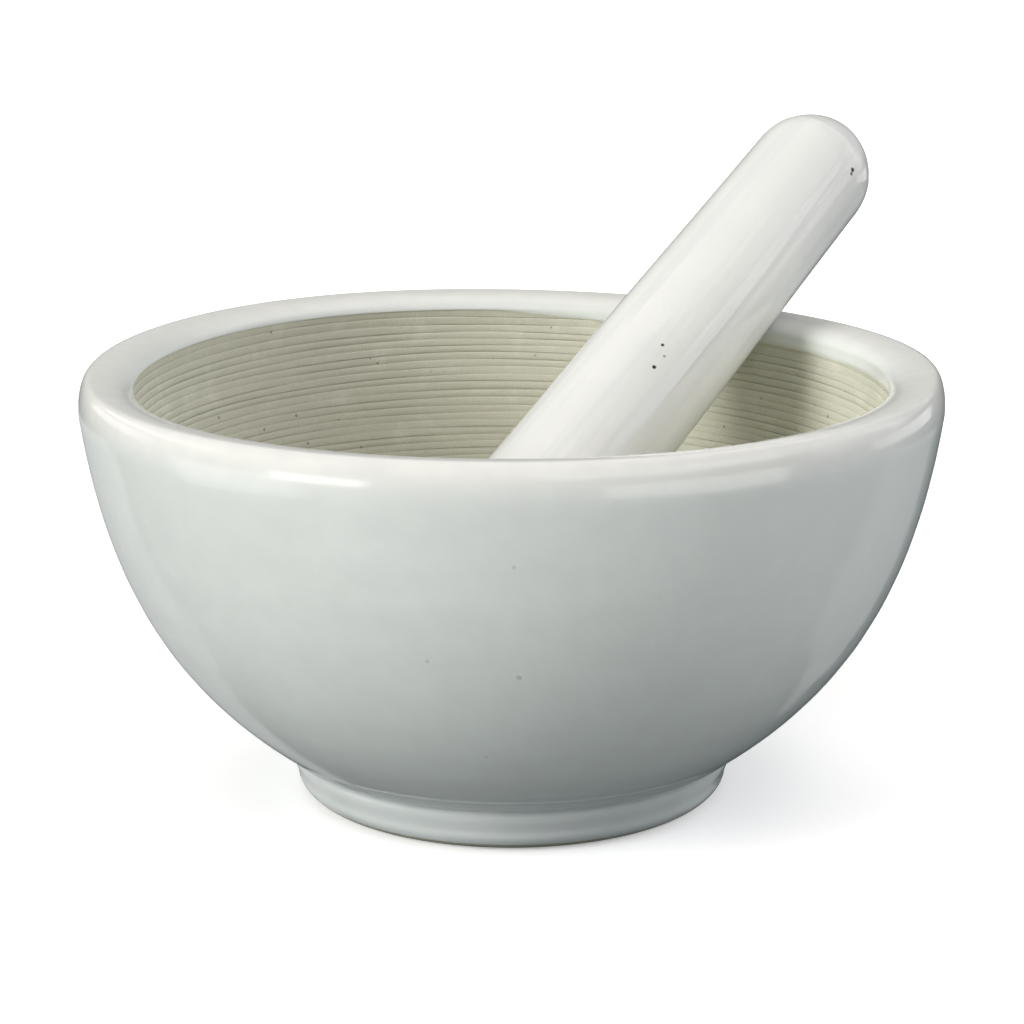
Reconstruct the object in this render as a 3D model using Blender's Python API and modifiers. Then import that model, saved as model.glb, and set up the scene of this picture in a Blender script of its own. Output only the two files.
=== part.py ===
"""Mortar and pestle: a thrown ceramic bowl on a turned foot, and a pestle leaning on its rim.

Metres, +Z up. The origin is the centre of the foot, on the surface that the bowl stands on, and
the bowl's axis is Z. The pestle lies in the upright plane through that axis: its round head rests
on the bowl's inside, and its shaft rests on the rim on the opposite side.
"""

import math

import bpy
from mathutils import Vector

COLLECTION = "mortar_and_pestle"

# The bowl's rim: a broad lip that rolls gently inwards and steeply outwards from its crest.
RIM_HEIGHT = 0.1016
BOWL_RADIUS = 0.1000
CREST_RADIUS = 0.0975
LIP_RADIUS = 0.0874
LIP_DROP = 0.0037
ROLL_DEPTH = 0.0072
ROLL_END = math.radians(-22.4)

# The outer wall is a cubic curve from the end of the roll to the groove above the foot.
UPPER_HANDLE = 0.0318
LOWER_HANDLE = (0.0854, 0.0347)
GROOVE = (0.0586, 0.0147)
WALL_THICKNESS = 0.0126
FLOOR_HEIGHT = 0.0170

# The foot: a band below the groove, a nearly upright face, and a ring around a shallow recess.
FOOT_TOP = (0.0528, 0.0108)
FOOT_RADIUS = 0.0513
FOOT_EDGE = (0.0055, 0.0054)
RING_INNER_RADIUS = 0.0400
RECESS_HEIGHT = 0.0030
RECESS_SLOPE = 0.0020

# The pestle: a tapered shaft with a hemispherical head below and a domed end above.
HEAD_RADIUS = 0.0181
GRIP_RADIUS = 0.0155
GRIP_DOME = 0.0168
SHAFT_LENGTH = 0.1697

# How the pestle leans: compass angle from +X, and how far its head's centre is off the axis.
LEAN_AZIMUTH = math.radians(46.4)
HEAD_OFFSET = 0.0302
REST_GAP = 0.0003

BOWL_STEPS = 72
PESTLE_STEPS = 48
WALL_POINTS = 14
ROLL_POINTS = 7
DOME_POINTS = 8
EDGE_POINTS = 4
CONTACT_SAMPLES = 12
MERGE_DISTANCE = 0.00001

BOWL_COLOUR = (0.74, 0.75, 0.71)
BOWL_ROUGHNESS = 0.18
PESTLE_COLOUR = (0.80, 0.80, 0.76)
PESTLE_ROUGHNESS = 0.15


def bezier_point(controls, t):
    """Point at t on the curve of any degree with these control points."""
    points = [Vector(c) for c in controls]
    while len(points) > 1:
        points = [a.lerp(b, t) for a, b in zip(points, points[1:])]
    return points[0]


def bezier(controls, segments):
    """Evenly spaced points on a curve, from its first control point to its last."""
    return [bezier_point(controls, i / segments) for i in range(segments + 1)]


def arc(centre, semi_axes, start, end, segments):
    """Points on an ellipse from one angle to another, measured from the outward direction."""
    angles = [start + (end - start) * i / segments for i in range(segments + 1)]
    return [
        Vector((centre[0] + semi_axes[0] * math.cos(a), centre[1] + semi_axes[1] * math.sin(a)))
        for a in angles
    ]


def lip():
    """The inner half of the rim, from the bowl's inside up to the crest."""
    semi_axes = (CREST_RADIUS - LIP_RADIUS, LIP_DROP)
    return arc((CREST_RADIUS, RIM_HEIGHT - LIP_DROP), semi_axes, math.pi, math.pi / 2, ROLL_POINTS)


def roll():
    """The outer half of the rim, from the crest to where the outer wall takes over."""
    centre = (CREST_RADIUS, RIM_HEIGHT - ROLL_DEPTH)
    semi_axes = (BOWL_RADIUS - CREST_RADIUS, ROLL_DEPTH)
    return arc(centre, semi_axes, math.pi / 2, ROLL_END, ROLL_POINTS)


def outer_wall():
    """The bowl's outside, leaving the roll along its tangent and ending in the groove."""
    start = roll()[-1]
    tangent = Vector(
        (
            (BOWL_RADIUS - CREST_RADIUS) * math.sin(ROLL_END),
            -ROLL_DEPTH * math.cos(ROLL_END),
        )
    ).normalized()
    controls = [start, start + UPPER_HANDLE * tangent, LOWER_HANDLE, GROOVE]
    return bezier(controls, WALL_POINTS)


def inner_wall():
    """The outer wall set in by the wall's thickness, from the lip down."""
    outer = outer_wall()
    inner = []
    for i, point in enumerate(outer):
        along = outer[min(i + 1, len(outer) - 1)] - outer[max(i - 1, 0)]
        inwards = Vector((along.y, -along.x)).normalized()
        inner.append(point + WALL_THICKNESS * inwards)
    return inner


def bowl_floor():
    """The dished floor, from the foot of the inner wall to the axis."""
    wall = inner_wall()
    start = wall[-1]
    slope = wall[-1] - wall[-2]
    corner = start + slope * ((FLOOR_HEIGHT - start.y) / slope.y)
    return bezier([start, corner, (0.0, FLOOR_HEIGHT)], DOME_POINTS)


def inside():
    """The whole inner surface, from the floor's centre up to the crest of the rim."""
    return bowl_floor()[::-1] + inner_wall()[-2::-1] + lip()


def foot():
    """The foot, from the groove down to the ring that it stands on, and in to the axis."""
    edge_centre = (FOOT_RADIUS - FOOT_EDGE[0], FOOT_EDGE[1])
    edge = arc(edge_centre, FOOT_EDGE, 0.0, -math.pi / 2, EDGE_POINTS)
    recess = [
        Vector((RING_INNER_RADIUS, 0.0)),
        Vector((RING_INNER_RADIUS - RECESS_SLOPE, RECESS_HEIGHT)),
        Vector((0.0, RECESS_HEIGHT)),
    ]
    return [Vector(FOOT_TOP)] + edge + recess


def mortar_profile():
    """The bowl's half section, from the floor's centre, over the rim, to the recess's centre."""
    return inside() + roll()[1:] + outer_wall()[1:] + foot()


def pestle_profile():
    """The pestle's outline along its own axis, from the tip of the grip down to the head."""
    top = arc((0.0, SHAFT_LENGTH), (GRIP_RADIUS, GRIP_DOME), math.pi / 2, 0.0, DOME_POINTS)
    head = arc((0.0, 0.0), (HEAD_RADIUS, HEAD_RADIUS), 0.0, -math.pi / 2, DOME_POINTS)
    return top + head


def subdivided(outline, parts):
    """An outline with extra points along the straight stretches between its own."""
    return [a.lerp(b, k / parts) for a, b in zip(outline, outline[1:]) for k in range(parts + 1)]


def head_height():
    """Height at which the head's centre clears the bowl's inside by the resting gap."""
    reach = HEAD_RADIUS + REST_GAP
    heights = []
    for point in subdivided(inside(), CONTACT_SAMPLES):
        across = point.x - HEAD_OFFSET
        if abs(across) < reach:
            heights.append(point.y + math.sqrt(reach**2 - across**2))
    return max(heights)


def lean_angles():
    """The axis's and the underside's angles above level when the shaft meets the rim."""
    taper = math.atan2(HEAD_RADIUS - GRIP_RADIUS, SHAFT_LENGTH)
    reach = HEAD_RADIUS * math.cos(taper) + REST_GAP
    height = head_height()
    angles = []
    for point in lip() + roll():
        away = Vector((point.x + HEAD_OFFSET, point.y - height))
        angles.append(math.atan2(away.y, away.x) + math.asin(reach / away.length))
    underside = max(angles)
    return underside - taper, underside


def material(name, colour, roughness):
    """A glazed ceramic finish."""
    made = bpy.data.materials.new(name)
    made.use_nodes = True
    shader = made.node_tree.nodes["Principled BSDF"]
    shader.inputs["Base Color"].default_value = (*colour, 1.0)
    shader.inputs["Roughness"].default_value = roughness
    shader.inputs["Metallic"].default_value = 0.0
    return made


def turned(name, profile, steps, finish, collection):
    """A closed solid of revolution about its own Z from a half section."""
    mesh = bpy.data.meshes.new(name)
    points = [(point.x, 0.0, point.y) for point in profile]
    edges = [(i, i + 1) for i in range(len(points) - 1)]
    mesh.from_pydata(points, edges, [])
    mesh.materials.append(finish)
    solid = bpy.data.objects.new(name, mesh)
    collection.objects.link(solid)
    screw = solid.modifiers.new("turn", "SCREW")
    screw.axis = "Z"
    screw.steps = steps
    screw.render_steps = steps
    screw.use_merge_vertices = True
    screw.merge_threshold = MERGE_DISTANCE
    screw.use_smooth_shade = True
    return solid


def lean(pestle):
    """Stand the pestle's head in the bowl and lay its shaft against the rim."""
    axis_angle, _ = lean_angles()
    pestle.location = (
        -HEAD_OFFSET * math.cos(LEAN_AZIMUTH),
        -HEAD_OFFSET * math.sin(LEAN_AZIMUTH),
        head_height(),
    )
    pestle.rotation_euler = (0.0, math.pi / 2 - axis_angle, LEAN_AZIMUTH)


def main():
    for old in list(bpy.data.objects):
        bpy.data.objects.remove(old)
    collection = bpy.data.collections.new(COLLECTION)
    bpy.context.scene.collection.children.link(collection)
    bowl_glaze = material("mortar_ceramic", BOWL_COLOUR, BOWL_ROUGHNESS)
    pestle_glaze = material("pestle_ceramic", PESTLE_COLOUR, PESTLE_ROUGHNESS)
    turned("mortar", mortar_profile(), BOWL_STEPS, bowl_glaze, collection)
    pestle = turned("pestle", pestle_profile(), PESTLE_STEPS, pestle_glaze, collection)
    lean(pestle)


main()
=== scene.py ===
"""The looks of a ceramic mortar and its pestle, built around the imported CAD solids.

Metres, +Z up, in the CAD model's own frame. Both pieces are turned, so each visual piece takes its
half section from its CAD node and adds what the solids leave out: the glaze's edge, the combed
ridges inside the bowl, the bead above the foot, and the slight unevenness of thrown clay. Lights
below the table's level stand for the light that the table throws back.
"""

import math

import bpy
import numpy as np
from mathutils import Matrix, Vector


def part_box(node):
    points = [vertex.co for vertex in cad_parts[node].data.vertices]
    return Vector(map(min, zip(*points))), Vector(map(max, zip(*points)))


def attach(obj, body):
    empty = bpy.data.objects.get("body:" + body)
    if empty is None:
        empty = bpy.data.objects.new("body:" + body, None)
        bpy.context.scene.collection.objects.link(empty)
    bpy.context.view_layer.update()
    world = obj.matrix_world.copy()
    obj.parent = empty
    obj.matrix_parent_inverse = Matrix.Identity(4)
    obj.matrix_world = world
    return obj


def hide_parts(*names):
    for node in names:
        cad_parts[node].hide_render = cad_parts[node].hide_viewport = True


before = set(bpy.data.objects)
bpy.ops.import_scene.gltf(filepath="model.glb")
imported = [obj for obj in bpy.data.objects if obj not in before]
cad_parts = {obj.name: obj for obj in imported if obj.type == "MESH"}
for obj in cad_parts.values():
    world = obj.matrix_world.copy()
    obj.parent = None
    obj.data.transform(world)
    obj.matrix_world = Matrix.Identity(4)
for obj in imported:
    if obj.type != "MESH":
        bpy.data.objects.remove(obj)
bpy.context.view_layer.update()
RIM_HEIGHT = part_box("mortar")[1].z

MM = 0.001

# How finely the half sections are followed before their rows are chosen.
SECTION_STEP = 0.05 * MM
CORNER_ANGLE = math.radians(33)
SAME_PLACE = 1e-6

# Where the bowl's glaze ends, is thin or ran down, and where its features lie.
CLAY_TOP = RIM_HEIGHT - 3.7 * MM
BAND_TOP = 13.9 * MM
BAND_BOTTOM = 10.1 * MM
EDGE_TOP = 5.4 * MM
RING_OUTER = 50.0 * MM
RING_INNER = 39.4 * MM
# How strong the painted shade on the foot's bare ring is.
RING_PAINTED_SHADE = 1.3
GLAZE_THICKNESS = 0.22 * MM
GLAZE_EDGE = 0.1 * MM
GLAZE_BEAD = 0.9 * MM
GLAZE_BEAD_SHARE = 0.4
# The rim's band is painted lighter: partly thin glaze, partly painted light where the rim catches the
# light.
THIN_START = 4 * MM
THIN_END = 11 * MM
GLAZE_RUN = 2.8 * MM
GLAZE_RUN_AZIMUTH = math.radians(25)
GLAZE_RUN_COSINES = (0.35, 0.85)

# The ridges that a comb left in the bowl's inside while it turned.
RIDGE_PITCH = 1.86 * MM
RIDGE_JITTER = 0.07
RIDGE_DEPTH = 0.34 * MM
RIDGE_ROWS = (0.0, 0.06, 0.16, 0.50, 0.84, 0.94)
RIDGE_FLANKS = (0.05, 0.09)
RIDGE_LEAN = 0.35
RIDGE_WANDER = 0.16 * MM
RIDGE_DEPTH_CHANGE = 0.35
RIDGE_DEPTH_RANGE = (0.3, 1.6)
RIDGE_TOP_SHARE = 0.7
RIDGE_TOP_TURNS = 5.0
COMB_START = 0.2 * MM
COMB_FULL = -0.8 * MM
SMOOTH_FLOOR = 12 * MM

# The band above the foot, in parts of the band from its top: each groove's place, width and share
# of the depth, then the bead's and the foot's lip's place and width.
BAND_GROOVES = ((0.0, 0.16, 0.8), (1.0, 0.20, 1.0))
BEAD_PLACE = (0.50, 0.24)
LIP_PLACE = (1.30, 0.32)
GROOVE_DEPTH = 0.30 * MM
BEAD_HEIGHT = 0.30 * MM
LIP_HEIGHT = 0.22 * MM

# How much painted shade darkens the glaze where shade falls: in the grooves, on the foot, at the
# foot's lower edge, and on the wall just above the band.
GROOVE_PAINTED_SHADE = 0.9
FOOT_PAINTED_SHADE = 0.55
EDGE_PAINTED_SHADE = 0.60
WALL_PAINTED_SHADE = 0.35
WALL_PAINTED_SHADE_START = -1.2

# The unevenness of hand work: the rim's height warps two and three times round.
OUTER_WAVE = 0.018 * MM
OUTER_WAVE_PITCH = 11 * MM
OUTER_WAVE_START = (8 * MM, 25 * MM)
OUTER_WAVE_END = 10 * MM
OVALNESS = 0.10 * MM
OVAL_TURN = 0.7
RIM_WARPS = ((2, 0.50 * MM, math.radians(128)), (3, 0.30 * MM, math.radians(130)))
PESTLE_WAVE = 0.05 * MM

BOWL_COLUMNS = 160
PESTLE_COLUMNS = 112

# Where the pestle's glaze ends: above the head that grinds, and at the tip that it was fired on.
HEAD_CLAY_LENGTH = 46 * MM
TIP_CLAY_LENGTH = 17.5 * MM

# Iron spots: angle round the pestle, length along it from the head, radius, strength.
PESTLE_SPOTS = (
    (math.radians(168), 189.3 * MM, 0.80 * MM, 1.0),
    (math.radians(169.5), 188.3 * MM, 0.60 * MM, 0.9),
    (math.radians(131), 113.5 * MM, 0.55 * MM, 1.0),
    (math.radians(137), 107.2 * MM, 0.66 * MM, 1.0),
    (math.radians(138), 111.3 * MM, 0.50 * MM, 0.55),
)
# Faint spots under the bowl's glaze: angle from +X, height, radius, strength.
BOWL_SPOTS = (
    (math.radians(-89.7), 80 * MM, 0.60 * MM, 0.35),
    (math.radians(-101), 57.5 * MM, 0.60 * MM, 0.30),
    (math.radians(-89), 54 * MM, 0.75 * MM, 0.40),
    (math.radians(-94), 32 * MM, 0.55 * MM, 0.25),
)

GLAZE = (0.78, 0.835, 0.80)
GLAZE_SHADE = (0.75, 0.805, 0.77)
# Painted shade: the darker glaze colour painted where shade falls near the foot.
GLAZE_PAINTED_SHADE = (0.50, 0.56, 0.56)
# Lighter glaze on the rim: partly thin glaze, partly painted light.
THIN_GLAZE_AND_PAINTED_LIGHT = (0.86, 0.86, 0.81)
PESTLE_GLAZE = (0.845, 0.855, 0.83)
PESTLE_SHADE = (0.80, 0.815, 0.79)
# Painted reflection: the colour of the pestle's darker lengthwise streaks, which stand in for streaky
# reflections.
STREAK_PAINTED_REFLECTION = (0.73, 0.755, 0.745)
CLAY = (0.60, 0.60, 0.50)
CLAY_LIGHT = (0.72, 0.72, 0.62)
# Darker clay: used in the pores, and as painted shade in the grooves and on the foot's ring.
CLAY_DARK_AND_SHADE = (0.36, 0.35, 0.27)
CLAY_SPECK = (0.16, 0.13, 0.09)
TIP_CLAY = (0.72, 0.73, 0.72)
IRON = (0.035, 0.028, 0.022)
IRON_FAINT = (0.42, 0.40, 0.34)

# Sizes of the patterns in the glaze and the clay, and the heights of their bumps.
CLOUD_SIZE = 35 * MM
MOTTLE_SIZE = 0.8 * MM
STREAK_SIZE = 5 * MM
STREAK_STRETCH = 0.05
EDGE_WAVE_SIZE = 6 * MM
EDGE_WAVE = 0.5 * MM
CLAY_EDGE = 0.12 * MM
TIP_EDGE = 0.4 * MM
RIPPLE_SIZE = 7 * MM
RIPPLE_HEIGHT = 0.05 * MM
SMUDGE_SIZE = 14 * MM
SCUFF_SIZE = 9 * MM
GRAIN_SIZE = 0.5 * MM
GRAIN_HEIGHT = 0.10 * MM
GLOSS_ROUGHNESS = (0.03, 0.08)
TIP_ROUGHNESS = 0.15
CLAY_ROUGHNESS = 0.75
GLAZE_IOR = 1.52

# The camera looks at the bowl's axis from the front.
LOOK_AT = Vector((0.1 * MM, 0.0, 66.2 * MM))
CAMERA_DISTANCE = 708.1 * MM
CAMERA_ELEVATION = math.radians(14.58)
FOCAL_LENGTH = 105.75
SENSOR_WIDTH = 36.0

# Soft lights: name, azimuth, elevation, width and height in degrees as the bowl sees them, and
# strength as red, green, blue. Azimuth 0 is in front of the bowl and 90 to its right.
LIGHT_DISTANCE = 6.0
LIGHTS = (
    ("top_high", 0, 66, 50, 20, (0.30, 0.27, 0.20)),
    ("right_low", 104, 9, 40, 14, (0.12, 0.12, 0.12)),
    ("table_right", 48, -8, 50, 16, (0.60, 0.60, 0.55)),
    ("table_left", -75, -14, 40, 20, (0.37, 0.37, 0.35)),
    ("table_front", 0, -35, 90, 30, (0.50, 0.54, 0.54)),
)
# Fills that do not show as reflections in the glaze.
FILLS = (
    ("key", -60, 24, 20, 28, (1.60, 1.60, 1.55)),
    ("key_glow", -62, 24, 34, 40, (1.55, 1.50, 1.45)),
    ("top", 20, 45, 30, 26, (0.70, 0.65, 0.68)),
    ("right", 88, 29, 34, 36, (1.15, 1.15, 1.20)),
    ("back_top", 175, 50, 50, 30, (1.30, 1.30, 1.20)),
    ("back_low", 180, -5, 100, 40, (0.45, 0.46, 0.45)),
)
# White cards that only show as reflections in the glaze: their last number is how bright they are.
CARDS = (
    ("card_key", -62, 24, 34, 40, 0.35),
    ("card_window", -50, -1, 26, 9, 5.5),
    ("card_front_left", -12, 22, 36, 16, 0.7),
    ("card_front", 28, 20, 40, 16, 1.6),
    ("card_front_right", 63, 22, 28, 16, 1.9),
    ("card_high_left", -12, 40, 36, 18, 0.4),
    ("card_high", 24, 41, 40, 24, 0.6),
    ("card_high_right", 66, 40, 24, 18, 0.4),
    ("card_right", 88, 29, 34, 36, 1.5),
    ("card_right_back", 98, 24, 34, 20, 1.3),
    ("card_side", 86, 4, 14, 14, 0.5),
    ("card_right_low", 122, -4, 36, 8, 1.2),
    ("card_right_edge", 133, -26, 32, 26, 0.3),
    ("card_back", 130, 28, 40, 44, 0.45),
    ("card_back_high", 165, 57, 50, 22, 0.35),
    ("card_lip", 170, 13, 60, 14, 0.2),
    ("card_left_back", -124, 5, 34, 10, 0.9),
    ("card_left", -112, 20, 56, 9, 1.3),
    ("card_left_edge", -148, -26, 36, 28, 0.4),
)
WORLD = (0.04, 0.05, 0.06)
FLOOR_GLOW = 0.35
FLOOR_SIZE = 12.0
PAPER = (0.95, 0.95, 0.95)
BACKDROP = (0.9, 0.9, 0.9)

# Where the table lies in the bowl's shadow and throws less light back: centre, radius, loss.
SHADE_CENTRE = Vector((75 * MM, -10 * MM, -0.5 * MM))
SHADE_RADIUS = 90 * MM
SHADE_LOSS = 0.90

SEED = 11


# ---------------------------------------------------------------- half sections


def cad_points(node):
    """A CAD node's vertices as an array."""
    return np.array([v.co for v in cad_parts[node].data.vertices], float)


def bowl_outline():
    """The bowl's half section (radius, height), from the floor's centre over the rim to the recess."""
    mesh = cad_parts["mortar"].data
    links = {}
    for edge in mesh.edges:
        ends = [mesh.vertices[i].co for i in edge.vertices]
        if any(abs(p.y) > SAME_PLACE or p.x < -SAME_PLACE for p in ends):
            continue
        a, b = ((round(p.x, 6), round(p.z, 6)) for p in ends)
        if a != b:
            links.setdefault(a, []).append(b)
            links.setdefault(b, []).append(a)
    outline = [max((p for p in links if p[0] == 0.0), key=lambda p: p[1])]
    while True:
        onward = [p for p in links[outline[-1]] if p not in outline]
        if not onward:
            break
        outline.append(onward[0])
    return np.array(outline + [(0.0, outline[-1][1])])


def pestle_axis():
    """The pestle's two poles: the bottom of its head and the top of its grip."""
    points = cad_points("pestle")
    tip = points[np.linalg.norm(points - points.mean(0), axis=1).argmax()]
    head = points[np.linalg.norm(points - tip, axis=1).argmax()]
    if head[2] > tip[2]:
        head, tip = tip, head
    return Vector(head), Vector(tip)


def pestle_outline(head, tip):
    """The pestle's half section (radius, height) along its own axis, from the tip to the head."""
    along = np.array((tip - head).normalized())
    points = cad_points("pestle") - np.array(head)
    heights = points @ along
    radii = np.linalg.norm(points - np.outer(heights, along), axis=1)
    rows = sorted({(round(h, 5), round(r, 5)) for h, r in zip(heights, radii)}, reverse=True)
    return np.array([(r, h) for h, r in rows])


def turning(points):
    """How far the outline turns at each of its points."""
    steps = np.diff(points, axis=0)
    headings = np.unwrap(np.arctan2(steps[:, 1], steps[:, 0]))
    return np.concatenate([[0.0], np.abs(np.diff(headings)), [0.0]])


def smooth_run(points):
    """A smooth curve through the points, densely sampled; it runs straight where they do."""
    ends = np.vstack([2 * points[0] - points[1], points, 2 * points[-1] - points[-2]])
    across = ends[2:] - ends[:-2]
    tangents = across / np.linalg.norm(across, axis=1, keepdims=True)
    pieces = []
    for a, b, from_a, to_b in zip(points, points[1:], tangents, tangents[1:]):
        chord = np.linalg.norm(b - a)
        t = np.linspace(0, 1, max(2, int(chord / SECTION_STEP)), endpoint=False)[:, None]
        bend = chord * t * (1 - t) * ((1 - t) * from_a - t * to_b)
        pieces.append(a + (b - a) * t**2 * (3 - 2 * t) + bend)
    return np.vstack(pieces + [points[-1:]])


class Section:
    """A half section that can be read at any length along it."""

    def __init__(self, outline):
        corners = [i for i, angle in enumerate(turning(outline)) if angle > CORNER_ANGLE]
        stops = [0] + corners + [len(outline) - 1]
        runs = [smooth_run(outline[a : b + 1]) for a, b in zip(stops, stops[1:])]
        self.points = np.vstack([runs[0]] + [run[1:] for run in runs[1:]])
        steps = np.linalg.norm(np.diff(self.points, axis=0), axis=1)
        self.lengths = np.concatenate([[0.0], np.cumsum(steps)])
        self.total = self.lengths[-1]

    def at(self, length):
        """Radius and height at lengths along the section."""
        return np.stack([np.interp(length, self.lengths, self.points[:, i]) for i in (0, 1)], -1)

    def normal(self, length, reach=0.3 * MM):
        """The outward normal (radial, vertical), averaged over a short reach."""
        along = self.at(length + reach) - self.at(length - reach)
        normal = np.stack([-along[..., 1], along[..., 0]], -1)
        return normal / np.linalg.norm(normal, axis=-1, keepdims=True)

    def first(self, test, after=0.0):
        """First length beyond another that passes a test on the (radius, height) arrays."""
        passed = test(self.points[:, 0], self.points[:, 1]) & (self.lengths > after)
        return self.lengths[np.argmax(passed)]


def bowl_marks(section):
    """Lengths along the bowl's section at which its features lie."""
    clay = section.first(lambda r, z: z > CLAY_TOP)
    crest = section.first(lambda r, z: z > RIM_HEIGHT - 0.01 * MM)
    band = section.first(lambda r, z: z < BAND_TOP, crest)
    foot = section.first(lambda r, z: z < BAND_BOTTOM, band)
    edge = section.first(lambda r, z: z < EDGE_TOP, foot)
    ring_out = section.first(lambda r, z: r < RING_OUTER, edge)
    ring_in = section.first(lambda r, z: r < RING_INNER, ring_out)
    return {
        "floor": section.first(lambda r, z: r > SMOOTH_FLOOR),
        "clay": clay,
        "crest": crest,
        "band": band,
        "foot": foot,
        "edge": edge,
        "ring_out": ring_out,
        "ring_in": ring_in,
    }


# ---------------------------------------------------------------- unevenness


def wander(angles, rows, harmonics, rng):
    """Smooth noise of about unit height, round each row and from row to row."""
    total = np.zeros((len(rows), len(angles)))
    for k in range(1, harmonics + 1):
        size = rng.normal(size=2) / math.sqrt(harmonics)
        drift = rng.uniform(0.5, 1.5, 2)
        phase = rng.uniform(0, 2 * math.pi, 2)
        around = k * angles[None, :]
        total += size[0] * np.cos(around + drift[0] * rows[:, None] + phase[0])
        total += size[1] * np.sin(around - drift[1] * rows[:, None] + phase[1])
    return total


def smoothstep(low, high, x):
    t = np.clip((x - low) / (high - low), 0, 1)
    return t * t * (3 - 2 * t)


# ---------------------------------------------------------------- meshes


def turned_mesh(name, radius, height, angles, attributes):
    """A closed mesh from rows of (radius, height) round the Z axis, with a pole at each end."""
    rows, columns = radius.shape
    ring = np.stack([radius * np.cos(angles), radius * np.sin(angles), height], -1)
    poles = np.array([[0, 0, height[0].mean()], [0, 0, height[-1].mean()]])
    vertices = np.vstack([ring.reshape(-1, 3), poles])
    here = np.arange(columns)
    there = (here + 1) % columns
    faces = []
    for i in range(rows - 1):
        low, high = i * columns, (i + 1) * columns
        faces += np.stack([low + here, high + here, high + there, low + there], -1).tolist()
    first, last = rows * columns, rows * columns + 1
    end = (rows - 1) * columns
    faces += [[first, a, b] for a, b in zip(here.tolist(), there.tolist())]
    faces += [[last, end + b, end + a] for a, b in zip(here.tolist(), there.tolist())]
    mesh = bpy.data.meshes.new(name)
    mesh.from_pydata(vertices.tolist(), [], faces)
    mesh.shade_smooth()
    for label, values in attributes.items():
        layer = mesh.attributes.new(label, "FLOAT", "POINT")
        ends = [values[0].mean(), values[-1].mean()]
        layer.data.foreach_set("value", np.concatenate([values.ravel(), ends]).astype(np.float32))
    place = mesh.attributes.new("place", "FLOAT_VECTOR", "POINT")
    place.data.foreach_set("vector", vertices.astype(np.float32).ravel())
    return mesh


def spread(start, end, spacing):
    """Evenly spaced lengths from start up to, and without, end."""
    count = max(1, round((end - start) / spacing))
    return np.linspace(start, end, count, endpoint=False)


def ridge_shape(phase):
    """A rib's height from 0 to about 1 between two narrow grooves, leaning back downwards."""
    upper = 1 - np.exp(-phase / RIDGE_FLANKS[0])
    lower = 1 - np.exp((phase - 1) / RIDGE_FLANKS[1])
    return upper * lower * (1 - RIDGE_LEAN * phase)


def hump(x, place, width):
    """A smooth hump of unit height."""
    return np.exp(-(((x - place) / width) ** 2))


def bead_grooves(x):
    """How deep the two grooves beside the bead above the foot are, from 0 to 1."""
    return sum(share * hump(x, place, width) for place, width, share in BAND_GROOVES)


def bead_shape(x):
    """The profile of the band above the foot: a groove, a bead, a groove and the foot's lip."""
    raised = BEAD_HEIGHT * hump(x, *BEAD_PLACE) + LIP_HEIGHT * hump(x, *LIP_PLACE)
    return raised - GROOVE_DEPTH * bead_grooves(x)


def ridge_rows(marks, rng):
    """Rows for the combed ridges, from the glaze's edge down: lengths, and turns of the comb."""
    count = int((marks["clay"] - marks["floor"]) / RIDGE_PITCH)
    pitches = RIDGE_PITCH * (1 + RIDGE_JITTER * rng.normal(size=count))
    tops = marks["clay"] - np.concatenate([[0.0], np.cumsum(pitches)])
    rows = [
        (tops[k] - phase * pitches[k], k + phase) for k in range(count) for phase in RIDGE_ROWS
    ]
    return rows + [(tops[-1], float(count))]


def bowl_rows(section, marks, rng):
    """All rows of the bowl's vertices: lengths along the section, and turns (nan off the ridges)."""
    ridges = ridge_rows(marks, rng)
    clay, crest, band, foot, edge = (marks[k] for k in ("clay", "crest", "band", "foot", "edge"))
    plain = np.concatenate(
        [
            spread(0.8 * MM, ridges[-1][0], 2 * MM),
            spread(clay + 0.05 * MM, clay + 2 * MM, 0.2 * MM),
            spread(clay + 2 * MM, crest, 0.7 * MM),
            spread(crest, crest + 12 * MM, 0.6 * MM),
            spread(crest + 12 * MM, band - 2 * MM, 1.9 * MM),
            spread(band - 2 * MM, foot + 1.2 * MM, 0.25 * MM),
            spread(foot + 1.2 * MM, edge, 1 * MM),
            spread(edge, edge + 9 * MM, 0.5 * MM),
            spread(edge + 9 * MM, section.total - 1 * MM, 2.5 * MM),
        ]
    )
    rows = sorted(ridges + [(s, np.nan) for s in plain])
    return np.array([s for s, _ in rows]), np.array([turn for _, turn in rows])


def ridge_field(section, lengths, turn, angles, rng):
    """The ridges: how far each vertex slides along the section, its relief, and its groove."""
    ridged = ~np.isnan(turn)
    turn = np.where(ridged, turn, 0.0)
    from_axis = section.at(lengths)[:, 0]
    fade = smoothstep(0.0, 0.4, turn) * smoothstep(SMOOTH_FLOOR, 2 * SMOOTH_FLOOR, from_axis)
    fade = np.where(ridged, fade, 0.0)[:, None]
    slide = RIDGE_WANDER * wander(angles, 0.35 * np.floor(turn), 7, rng)
    change = RIDGE_DEPTH_CHANGE * wander(angles, 1.7 * np.floor(turn), 9, rng)
    depth = np.clip(1 + change, *RIDGE_DEPTH_RANGE)
    deepening = smoothstep(0.0, RIDGE_TOP_TURNS, turn)[:, None]
    depth *= RIDGE_TOP_SHARE + (1 - RIDGE_TOP_SHARE) * deepening
    cusp = 1 - ridge_shape(turn % 1.0)[:, None]
    return fade * slide, -RIDGE_DEPTH * depth * fade * cusp, np.clip(fade * depth * cusp, 0, 1)


def glaze_run(angles):
    """How far the glaze ran down into the bowl, on the side where it ran."""
    return GLAZE_RUN * smoothstep(*GLAZE_RUN_COSINES, np.cos(angles - GLAZE_RUN_AZIMUTH))


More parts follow.
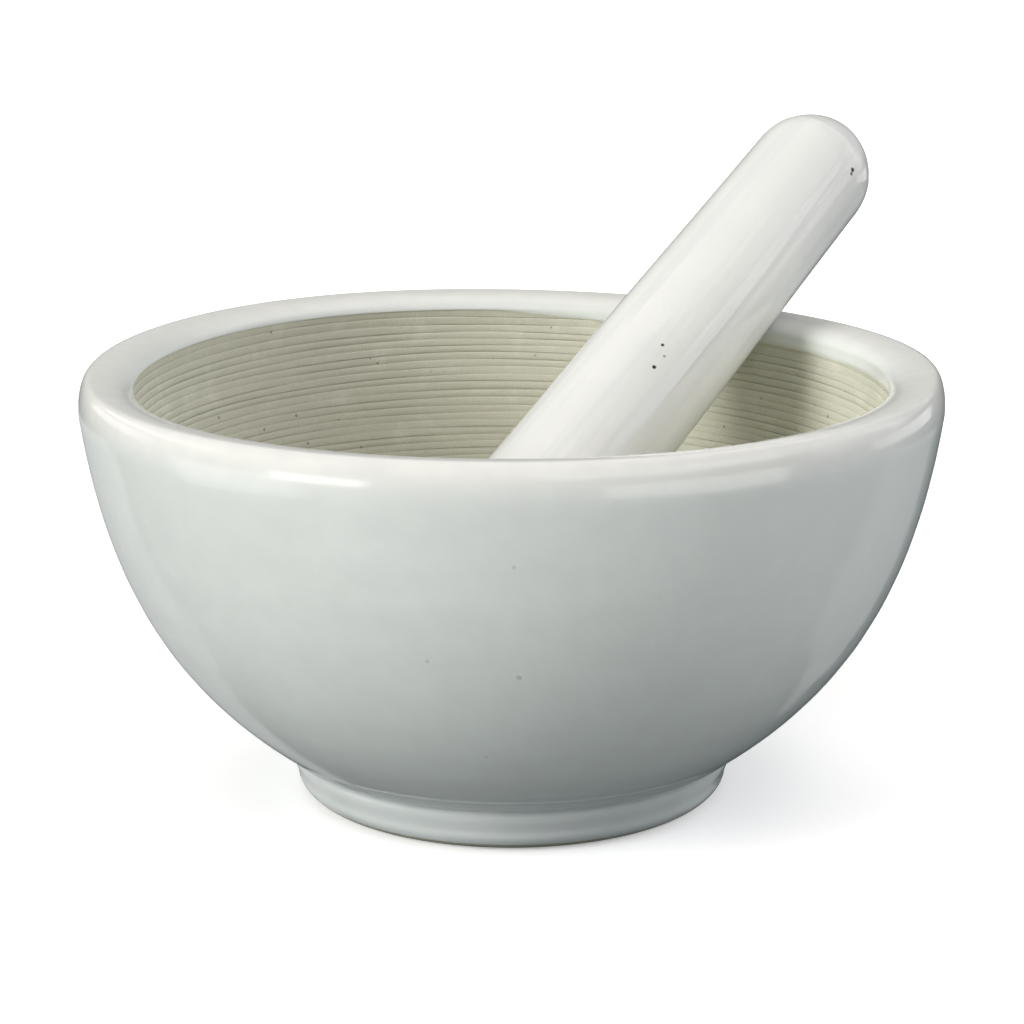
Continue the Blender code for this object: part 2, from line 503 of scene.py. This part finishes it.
def glaze_step(over):
    """Relief at the glaze's edge: the clay lies lower, and the glaze ends in a bead."""
    bead = hump(over, GLAZE_BEAD, GLAZE_BEAD) * (over > 0)
    return GLAZE_THICKNESS * (GLAZE_BEAD_SHARE * bead - smoothstep(GLAZE_EDGE, -GLAZE_EDGE, over))


def outside_waves(marks, lengths, angles, rng):
    """The faint spiral rings that throwing left on the outer wall."""
    fade = smoothstep(*OUTER_WAVE_START, lengths - marks["crest"])
    fade = fade * smoothstep(0.0, OUTER_WAVE_END, marks["band"] - lengths)
    swirl = 2 * math.pi * lengths[:, None] / OUTER_WAVE_PITCH
    bend = wander(angles, lengths / (20 * MM), 3, rng)
    size = 1 + 0.6 * wander(angles, lengths / (12 * MM), 3, rng)
    return OUTER_WAVE * fade[:, None] * size * np.sin(swirl + angles + 1.2 * bend)


def warp(radius, height, angles):
    """The fired bowl's slight ovalness and its uneven rim, both fading towards the foot."""
    tall = height / RIM_HEIGHT
    radius = radius + OVALNESS * tall * np.cos(2 * angles + OVAL_TURN)
    for turns, size, peak in RIM_WARPS:
        height = height + size * tall**3 * np.cos(turns * (angles - peak))
    return radius, height


def bowl_mesh(section):
    """The bowl's closed mesh, with its ridges, glaze edge, bead and unevenness."""
    rng = np.random.default_rng(SEED)
    marks = bowl_marks(section)
    lengths, turn = bowl_rows(section, marks, rng)
    angles = np.linspace(0, 2 * math.pi, BOWL_COLUMNS, endpoint=False)
    slide, ridges, groove = ridge_field(section, lengths, turn, angles, rng)
    in_band = (lengths - marks["band"]) / (marks["foot"] - marks["band"])
    over = (lengths - marks["clay"])[:, None] + glaze_run(angles)
    combed = smoothstep(COMB_START, COMB_FULL, over)
    relief = ridges * combed + glaze_step(over) + bead_shape(in_band)[:, None]
    relief += outside_waves(marks, lengths, angles, rng)
    along = lengths[:, None] + slide
    place = section.at(along) + relief[..., None] * section.normal(along)
    radius, height = warp(place[..., 0], place[..., 1], angles)
    ring = np.minimum(lengths - marks["ring_out"], marks["ring_in"] - lengths)
    # Painted light, partly thin glaze: the band round the rim is lighter.
    rim_thin_and_lit = smoothstep(THIN_END, THIN_START, np.abs(lengths - marks["crest"]))
    # Painted shade: the glaze is darkened in the band's grooves, on the foot, at its lower edge and on
    # the wall just above the band, where shade falls.
    foot_shade = FOOT_PAINTED_SHADE * smoothstep(0.8, 1.2, in_band)
    foot_shade += EDGE_PAINTED_SHADE * smoothstep(marks["edge"] + 3 * MM, marks["edge"] + 6 * MM, lengths)
    wall_shade = WALL_PAINTED_SHADE * smoothstep(WALL_PAINTED_SHADE_START, 0.0, in_band) * (in_band < 1)
    painted_shade = np.maximum.reduce([GROOVE_PAINTED_SHADE * bead_grooves(in_band), wall_shade, foot_shade])
    attributes = {
        "bare": np.maximum(-over, ring[:, None]),
        # The groove attribute carries painted shade: in the ridges' grooves, and stronger on the
        # foot's bare ring.
        "groove": np.where(ring[:, None] > 0, RING_PAINTED_SHADE, groove * combed),
        "rim": np.repeat(rim_thin_and_lit[:, None], len(angles), 1),
        "painted_shade": np.repeat(painted_shade[:, None], len(angles), 1),
    }
    return turned_mesh("mortar_body", radius, height, angles, attributes)


def pestle_mesh(section):
    """The pestle's closed mesh along its own axis, with glaze edges and slight unevenness."""
    rng = np.random.default_rng(SEED + 1)
    lengths = np.concatenate(
        [
            spread(0.4 * MM, 30 * MM, 0.5 * MM),
            spread(30 * MM, section.total - 60 * MM, 1.6 * MM),
            spread(section.total - 60 * MM, section.total - 0.4 * MM, 0.7 * MM),
        ]
    )
    angles = np.linspace(0, 2 * math.pi, PESTLE_COLUMNS, endpoint=False)
    head = lengths - (section.total - HEAD_CLAY_LENGTH)
    tip = TIP_CLAY_LENGTH - lengths
    relief = PESTLE_WAVE * wander(angles, lengths / (18 * MM), 4, rng)
    relief = relief * smoothstep(0, 20 * MM, lengths)[:, None]
    step = smoothstep(-0.3 * MM, 0.3 * MM, head) + 0.7 * smoothstep(-0.5 * MM, 0.5 * MM, tip)
    relief -= 0.6 * GLAZE_THICKNESS * step[:, None]
    place = section.at(lengths)[:, None] + relief[..., None] * section.normal(lengths)[:, None]
    attributes = {
        "bare": np.repeat(head[:, None], len(angles), 1),
        "tip": np.repeat(tip[:, None], len(angles), 1),
    }
    return turned_mesh("pestle_body", place[..., 0], place[..., 1], angles, attributes)


def on_surface(section, angle, length):
    """The point of a turned surface at an angle and a length along its section."""
    radius, height = section.at(length)
    return radius * math.cos(angle), radius * math.sin(angle), height


# ---------------------------------------------------------------- materials


class Nodes:
    """Short calls for building one material's node tree."""

    def __init__(self, name):
        self.material = bpy.data.materials.new(name)
        self.material.use_nodes = True
        self.tree = self.material.node_tree
        self.shader = self.tree.nodes["Principled BSDF"]

    def add(self, kind, **settings):
        node = self.tree.nodes.new("ShaderNode" + kind)
        for name, value in settings.items():
            setattr(node, name, value)
        return node

    def feed(self, socket, value):
        """Link an output, or set a plain value, to an input socket."""
        if isinstance(value, bpy.types.NodeSocket):
            self.tree.links.new(value, socket)
        elif isinstance(value, tuple) and len(value) == 3 and len(socket.default_value) == 4:
            socket.default_value = (*value, 1.0)
        else:
            socket.default_value = value

    def math(self, operation, a, b=0.0, c=0.0):
        node = self.add("Math", operation=operation)
        for socket, value in zip(node.inputs, (a, b, c)):
            self.feed(socket, value)
        return node.outputs[0]

    def ramp(self, value, low, high, to_low=0.0, to_high=1.0):
        """Smooth step of a value between low and high."""
        node = self.add("MapRange", interpolation_type="SMOOTHSTEP")
        limits = {"From Min": low, "From Max": high, "To Min": to_low, "To Max": to_high}
        for name, number in limits.items():
            node.inputs[name].default_value = number
        self.feed(node.inputs["Value"], value)
        return node.outputs["Result"]

    def mix(self, factor, a, b):
        """Mix of two colours."""
        node = self.add("Mix", data_type="RGBA")
        self.feed(node.inputs["Factor"], factor)
        self.feed(node.inputs[6], a)
        self.feed(node.inputs[7], b)
        return node.outputs[2]

    def noise(self, vector, size, detail=2.0, roughness=0.5):
        """Noise from 0 to 1 whose features are about size metres across."""
        node = self.add("TexNoise")
        self.feed(node.inputs["Vector"], vector)
        node.inputs["Scale"].default_value = 1.0 / size
        node.inputs["Detail"].default_value = detail
        node.inputs["Roughness"].default_value = roughness
        return node.outputs["Fac"]

    def attribute(self, name, output="Fac"):
        return self.add("Attribute", attribute_name=name).outputs[output]

    def bump(self, height, distance, normal=None):
        node = self.add("Bump")
        node.inputs["Distance"].default_value = distance
        self.feed(node.inputs["Height"], height)
        if normal is not None:
            self.feed(node.inputs["Normal"], normal)
        return node.outputs["Normal"]

    def specks(self, vector, cell, share, size, shift):
        """1 inside small round specks: one in a share of the cells of a grid, size metres across."""
        moved = self.add("VectorMath", operation="ADD")
        self.feed(moved.inputs[0], vector)
        moved.inputs[1].default_value = (shift, shift, shift)
        cells = self.add("TexVoronoi", feature="F1")
        self.feed(cells.inputs["Vector"], moved.outputs[0])
        cells.inputs["Scale"].default_value = 1.0 / cell
        parts = self.add("SeparateColor")
        self.feed(parts.inputs[0], cells.outputs["Color"])
        chosen = self.ramp(parts.outputs[0], 1 - share, 1 - share + 0.001)
        radius = self.math("MULTIPLY_ADD", parts.outputs[1], size / cell, 0.3 * size / cell)
        edge = self.math("DIVIDE", cells.outputs["Distance"], radius)
        return self.math("MULTIPLY", chosen, self.ramp(edge, 1.0, 0.6))

    def spot(self, vector, place, size, strength):
        """A soft-edged round spot at a place on the surface."""
        distance = self.add("VectorMath", operation="DISTANCE")
        self.feed(distance.inputs[0], vector)
        distance.inputs[1].default_value = place
        return self.ramp(distance.outputs["Value"], size, 0.5 * size, 0.0, strength)


def glaze_colour(n, place, glaze, shade, spots, reflection_streaks=None):
    """Clouded glaze, lighter on the rim (thin glaze and painted light), with painted shade near the
    foot, painted reflection streaks, faint specks and iron spots.
    """
    cloud = n.noise(place, CLOUD_SIZE, 3.0)
    colour = n.mix(n.ramp(cloud, 0.35, 0.65), shade, glaze)
    mottle = n.noise(place, MOTTLE_SIZE, 3.0)
    colour = n.mix(n.ramp(mottle, 0.40, 0.66, 0.0, 0.45), colour, shade)
    if reflection_streaks is not None:
        # Painted reflection: lengthwise streaks that stand in for the streaky reflections on the
        # pestle's glaze.
        colour = n.mix(n.ramp(reflection_streaks, 0.46, 0.62, 0.0, 0.60), colour, STREAK_PAINTED_REFLECTION)
    # The rim's band is lighter: partly thin glaze, partly painted light.
    colour = n.mix(n.attribute("rim"), colour, THIN_GLAZE_AND_PAINTED_LIGHT)
    # Painted shade in the band's grooves, on the foot and on the wall just above it.
    colour = n.mix(n.attribute("painted_shade"), colour, GLAZE_PAINTED_SHADE)
    faint = n.specks(place, 16 * MM, 0.25, 0.6 * MM, 0.3)
    colour = n.mix(n.math("MULTIPLY", faint, 0.25), colour, IRON_FAINT)
    for point, size, strength in spots:
        colour = n.mix(n.spot(place, point, size, strength), colour, IRON)
    return colour


def clay_colour(n, place, grain):
    """Scuffed bare clay: darker in its pores, with painted shade in its grooves and on the foot's
    ring, and dark specks.
    """
    scuff = n.ramp(n.noise(place, SCUFF_SIZE, 5.0, 0.6), 0.50, 0.72, 0.0, 0.5)
    colour = n.mix(scuff, CLAY, CLAY_LIGHT)
    colour = n.mix(n.ramp(grain, 0.62, 0.40, 0.0, 0.14), colour, CLAY_DARK_AND_SHADE)
    # Painted shade in the ridges' grooves, and stronger painted shade on the foot's bare ring.
    colour = n.mix(n.ramp(n.attribute("groove"), 0.45, 1.0, 0.0, 0.60), colour, CLAY_DARK_AND_SHADE)
    colour = n.mix(n.ramp(n.attribute("groove"), 1.0, RING_PAINTED_SHADE, 0.0, 0.7), colour, CLAY_DARK_AND_SHADE)
    dark = n.specks(place, 4 * MM, 0.75, 0.42 * MM, 0.7)
    return n.mix(n.math("MULTIPLY", dark, 0.65), colour, CLAY_SPECK)


def ceramic(name, glaze, shade, spots, reflection_streaked=False):
    """Glossy glaze over matt clay: the mesh's bare attribute says how far clay lies from the glaze."""
    n = Nodes(name)
    place = n.attribute("place", "Vector")
    wave = n.noise(place, EDGE_WAVE_SIZE)
    edge_wave = n.math("MULTIPLY_ADD", wave, EDGE_WAVE, -EDGE_WAVE / 2)
    clay = n.ramp(n.math("ADD", n.attribute("bare"), edge_wave), -CLAY_EDGE, CLAY_EDGE)
    tip = n.ramp(n.math("ADD", n.attribute("tip"), edge_wave), -TIP_EDGE, TIP_EDGE)
    shiny = n.math("SUBTRACT", 1.0, clay)
    grain = n.noise(place, GRAIN_SIZE, 4.0, 0.65)

    # Stretched noise for the painted reflection streaks along the pestle.
    reflection_streaks = None
    if reflection_streaked:
        stretched = n.add("VectorMath", operation="MULTIPLY")
        n.feed(stretched.inputs[0], place)
        stretched.inputs[1].default_value = (1.0, 1.0, STREAK_STRETCH)
        reflection_streaks = n.noise(stretched.outputs[0], STREAK_SIZE, 3.0)

    colour = glaze_colour(n, place, glaze, shade, spots, reflection_streaks)
    colour = n.mix(n.math("MULTIPLY", tip, 0.8), colour, TIP_CLAY)
    colour = n.mix(clay, colour, clay_colour(n, place, grain))
    n.feed(n.shader.inputs["Base Color"], colour)

    smudge = n.ramp(n.noise(place, SMUDGE_SIZE, 4.0, 0.6), 0.3, 0.75, *GLOSS_ROUGHNESS)
    gloss = n.math("MULTIPLY_ADD", tip, TIP_ROUGHNESS, smudge)
    n.feed(n.shader.inputs["Roughness"], n.math("MULTIPLY_ADD", clay, CLAY_ROUGHNESS, gloss))
    n.shader.inputs["IOR"].default_value = GLAZE_IOR

    ripple = n.noise(place, RIPPLE_SIZE)
    rippled = n.bump(n.math("MULTIPLY", ripple, shiny), RIPPLE_HEIGHT)
    grainy = n.bump(n.math("MULTIPLY", grain, clay), GRAIN_HEIGHT, rippled)
    n.feed(n.shader.inputs["Normal"], grainy)
    return n.material


# ---------------------------------------------------------------- pieces


def make_piece(body, mesh, material):
    """The visual piece that stands for the CAD node of a body and rides on that body."""
    piece = bpy.data.objects.new(mesh.name, mesh)
    bpy.context.scene.collection.objects.link(piece)
    mesh.materials.append(material)
    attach(piece, body)
    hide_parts(body)


def make_bowl():
    section = Section(bowl_outline())
    crest = bowl_marks(section)["crest"]
    spots = []
    for angle, height, size, strength in BOWL_SPOTS:
        length = section.first(lambda r, z: z < height, crest)
        spots.append((on_surface(section, angle, length), size, strength))
    material = ceramic("mortar_glaze", GLAZE, GLAZE_SHADE, spots)
    make_piece("mortar", bowl_mesh(section), material)


def make_pestle():
    head, tip = pestle_axis()
    section = Section(pestle_outline(head, tip))
    spots = []
    for angle, height, size, strength in PESTLE_SPOTS:
        length = section.first(lambda r, z: z < height)
        spots.append((on_surface(section, angle, length), size, strength))
    material = ceramic("pestle_glaze", PESTLE_GLAZE, PESTLE_SHADE, spots, reflection_streaked=True)
    mesh = pestle_mesh(section)
    turn = (tip - head).to_track_quat("Z", "Y").to_matrix().to_4x4()
    mesh.transform(Matrix.Translation(head) @ turn)
    make_piece("pestle", mesh, material)


# ---------------------------------------------------------------- stage


def make_camera():
    camera = bpy.data.objects.new("camera", bpy.data.cameras.new("camera"))
    bpy.context.scene.collection.objects.link(camera)
    back = Vector((0, -math.cos(CAMERA_ELEVATION), math.sin(CAMERA_ELEVATION)))
    camera.location = LOOK_AT + CAMERA_DISTANCE * back
    camera.rotation_euler = (math.pi / 2 - CAMERA_ELEVATION, 0, 0)
    camera.data.lens = FOCAL_LENGTH
    camera.data.sensor_width = SENSOR_WIDTH
    bpy.context.scene.camera = camera


def make_floor():
    """White paper that catches the shadows, throws no light back and is clear from below."""
    bpy.ops.mesh.primitive_plane_add(size=FLOOR_SIZE, location=(0, 0, 0))
    floor = bpy.context.object
    floor.name = "floor"
    n = Nodes("floor_paper")
    n.shader.inputs["Base Color"].default_value = (*PAPER, 1)
    n.shader.inputs["Roughness"].default_value = 0.9
    n.shader.inputs["Specular IOR Level"].default_value = 0.0
    glow = n.add("Emission")
    glow.inputs["Color"].default_value = (1, 1, 1, 1)
    glow.inputs["Strength"].default_value = FLOOR_GLOW
    lit = n.add("AddShader")
    n.feed(lit.inputs[0], n.shader.outputs[0])
    n.feed(lit.inputs[1], glow.outputs[0])
    sides = n.add("MixShader")
    n.feed(sides.inputs[0], n.add("NewGeometry").outputs["Backfacing"])
    n.feed(sides.inputs[1], lit.outputs[0])
    n.feed(sides.inputs[2], n.add("BsdfTransparent").outputs[0])
    n.feed(n.tree.nodes["Material Output"].inputs["Surface"], sides.outputs[0])
    floor.data.materials.append(n.material)
    floor.visible_diffuse = False
    floor.visible_glossy = False
    floor.visible_shadow = False


def make_shade():
    """An unseen disc that keeps part of the light from below off the shadowed side of the foot."""
    bpy.ops.mesh.primitive_circle_add(radius=SHADE_RADIUS, fill_type="NGON", location=SHADE_CENTRE)
    shade = bpy.context.object
    shade.name = "table_shade"
    n = Nodes("table_shade")
    n.shader.inputs["Base Color"].default_value = (0, 0, 0, 1)
    n.shader.inputs["Alpha"].default_value = SHADE_LOSS
    shade.data.materials.append(n.material)
    shade.visible_camera = False
    shade.visible_diffuse = False
    shade.visible_glossy = False
    shade.visible_transmission = False


def make_light(name, azimuth, elevation, width, height, strength, fill=False, card=False):
    """A soft rectangular light aimed at the bowl; a card shows only in reflections, a fill never."""
    data = bpy.data.lights.new(name, "AREA")
    data.shape = "RECTANGLE"
    data.size = 2 * LIGHT_DISTANCE * math.tan(math.radians(width / 2))
    data.size_y = 2 * LIGHT_DISTANCE * math.tan(math.radians(height / 2))
    brightest = max(strength)
    data.color = [s / brightest for s in strength]
    spread_out = data.size * data.size_y if card else LIGHT_DISTANCE**2
    data.energy = math.pi * brightest * spread_out
    light = bpy.data.objects.new(name, data)
    bpy.context.scene.collection.objects.link(light)
    light.visible_diffuse = not card
    light.visible_glossy = not fill
    a, e = math.radians(azimuth), math.radians(elevation)
    out = Vector((math.sin(a) * math.cos(e), -math.cos(a) * math.cos(e), math.sin(e)))
    light.location = LOOK_AT + LIGHT_DISTANCE * out
    light.rotation_euler = out.to_track_quat("Z", "Y").to_euler()


def make_world():
    """A dim surround for the light, and a pale one for the eye."""
    world = bpy.data.worlds.new("studio")
    world.use_nodes = True
    tree = world.node_tree
    dim = tree.nodes["Background"]
    dim.inputs["Color"].default_value = (*WORLD, 1)
    pale = tree.nodes.new("ShaderNodeBackground")
    pale.inputs["Color"].default_value = (*BACKDROP, 1)
    mix = tree.nodes.new("ShaderNodeMixShader")
    path = tree.nodes.new("ShaderNodeLightPath")
    tree.links.new(path.outputs["Is Camera Ray"], mix.inputs[0])
    tree.links.new(dim.outputs[0], mix.inputs[1])
    tree.links.new(pale.outputs[0], mix.inputs[2])
    tree.links.new(mix.outputs[0], tree.nodes["World Output"].inputs["Surface"])
    bpy.context.scene.world = world


make_bowl()
make_pestle()
make_camera()
make_floor()
make_shade()
for light in LIGHTS:
    make_light(*light)
for fill in FILLS:
    make_light(*fill, fill=True)
for *card, brightness in CARDS:
    make_light(*card, (brightness,) * 3, card=True)
make_world()
bpy.context.scene.view_settings.view_transform = "Standard"
